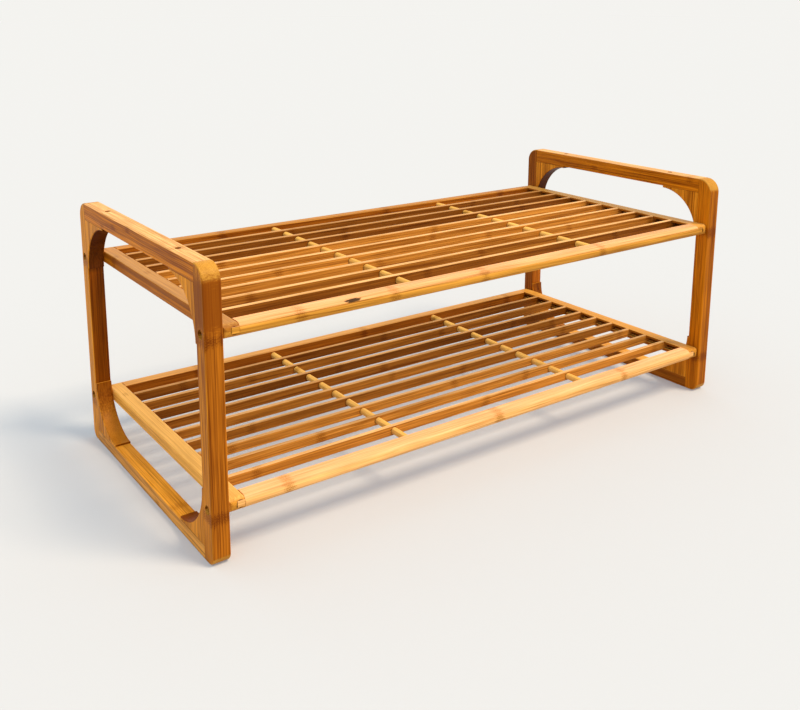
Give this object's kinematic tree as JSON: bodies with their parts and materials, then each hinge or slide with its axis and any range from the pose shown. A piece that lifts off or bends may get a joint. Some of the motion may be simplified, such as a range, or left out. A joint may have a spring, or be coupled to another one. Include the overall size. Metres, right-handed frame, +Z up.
{
  "type": "two-tier slatted bench rack",
  "caption": "Low wide bench rack: two slatted shelves screwed between looped side frames with rounded corners and curved corner gussets.",
  "frame": {"origin": "on the floor, under the centre of the bench", "axes": "+X along the bench to the right as seen from the front, +Y from front to back, +Z up"},
  "size_m": [0.75, 0.35, 0.3],
  "materials": {
    "bamboo_frame": "clear satin lacquer on laminated bamboo",
    "bamboo_shelf": "clear satin lacquer on laminated bamboo",
    "dowel_wood": "clear satin lacquer on pale turned rod",
    "screw_steel": "dark, satin"
  },
  "bodies": {
    "root": {"left_front_post": "bamboo_frame", "left_front_upper_gusset": "bamboo_frame", "left_front_lower_gusset": "bamboo_frame", "left_rear_post": "bamboo_frame", "left_rear_upper_gusset": "bamboo_frame", "left_rear_lower_gusset": "bamboo_frame", "left_top_rail": "bamboo_frame", "left_bottom_rail": "bamboo_frame", "right_front_post": "bamboo_frame", "right_front_upper_gusset": "bamboo_frame", "right_front_lower_gusset": "bamboo_frame", "right_rear_post": "bamboo_frame", "right_rear_upper_gusset": "bamboo_frame", "right_rear_lower_gusset": "bamboo_frame", "right_top_rail": "bamboo_frame", "right_bottom_rail": "bamboo_frame", "upper_shelf_front_rail": "bamboo_shelf", "upper_shelf_back_rail": "bamboo_shelf", "upper_shelf_left_end_rail": "bamboo_shelf", "upper_shelf_right_end_rail": "bamboo_shelf", "upper_shelf_slat_1": "bamboo_shelf", "upper_shelf_slat_2": "bamboo_shelf", "upper_shelf_slat_3": "bamboo_shelf", "upper_shelf_slat_4": "bamboo_shelf", "upper_shelf_slat_5": "bamboo_shelf", "upper_shelf_slat_6": "bamboo_shelf", "upper_shelf_slat_7": "bamboo_shelf", "upper_shelf_slat_8": "bamboo_shelf", "upper_shelf_slat_9": "bamboo_shelf", "upper_shelf_left_dowel": "dowel_wood", "upper_shelf_right_dowel": "dowel_wood", "lower_shelf_front_rail": "bamboo_shelf", "lower_shelf_back_rail": "bamboo_shelf", "lower_shelf_left_end_rail": "bamboo_shelf", "lower_shelf_right_end_rail": "bamboo_shelf", "lower_shelf_slat_1": "bamboo_shelf", "lower_shelf_slat_2": "bamboo_shelf", "lower_shelf_slat_3": "bamboo_shelf", "lower_shelf_slat_4": "bamboo_shelf", "lower_shelf_slat_5": "bamboo_shelf", "lower_shelf_slat_6": "bamboo_shelf", "lower_shelf_slat_7": "bamboo_shelf", "lower_shelf_slat_8": "bamboo_shelf", "lower_shelf_slat_9": "bamboo_shelf", "lower_shelf_left_dowel": "dowel_wood", "lower_shelf_right_dowel": "dowel_wood", "left_front_upper_screw": "screw_steel", "left_front_lower_screw": "screw_steel", "left_rear_upper_screw": "screw_steel", "left_rear_lower_screw": "screw_steel", "right_front_upper_screw": "screw_steel", "right_front_lower_screw": "screw_steel", "right_rear_upper_screw": "screw_steel", "right_rear_lower_screw": "screw_steel"}
  },
  "joints": []
}
